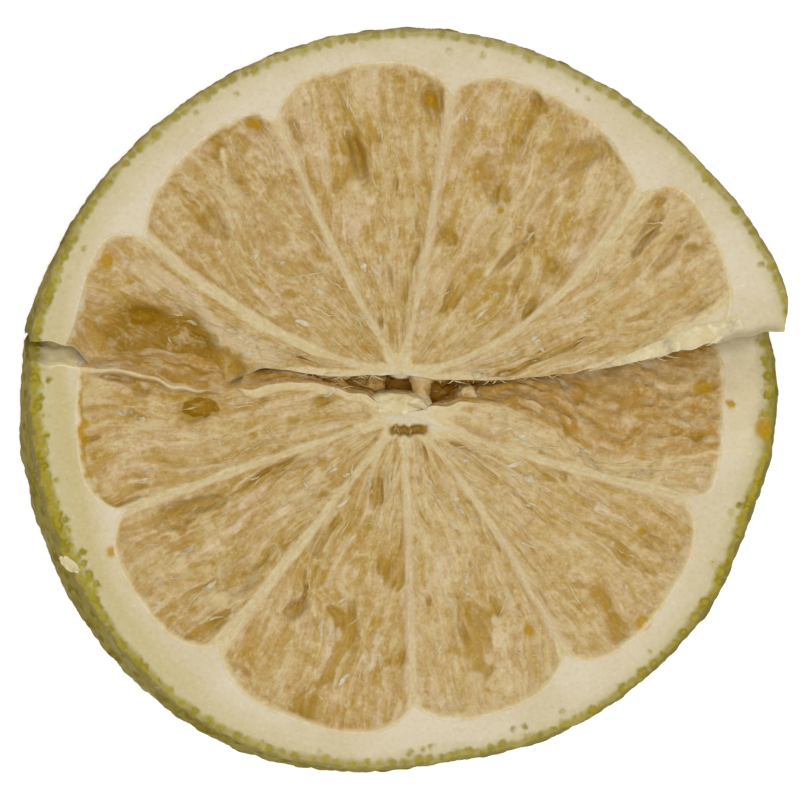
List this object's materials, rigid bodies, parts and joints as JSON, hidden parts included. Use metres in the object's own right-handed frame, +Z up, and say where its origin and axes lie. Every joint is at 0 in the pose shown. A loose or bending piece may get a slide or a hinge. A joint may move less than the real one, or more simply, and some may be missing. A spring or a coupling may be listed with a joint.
{
  "type": "freeze-dried lime slice",
  "caption": "Round dried citrus slice with pale pith, recessed flesh segments and a crack that gapes across its cut face.",
  "frame": {"origin": "middle of the slice's footprint, on the surface it lies on", "axes": "+Z up through the thickness, out of the cracked cut face; +X along the crack, towards its gaping end; +Y across it, towards the half that has ridden up"},
  "size_m": [0.0502, 0.0486, 0.008],
  "materials": {
    "dried_lime": "matte, dry and finely fibrous"
  },
  "bodies": {
    "root": {"lime_slice": "dried_lime"}
  },
  "joints": []
}
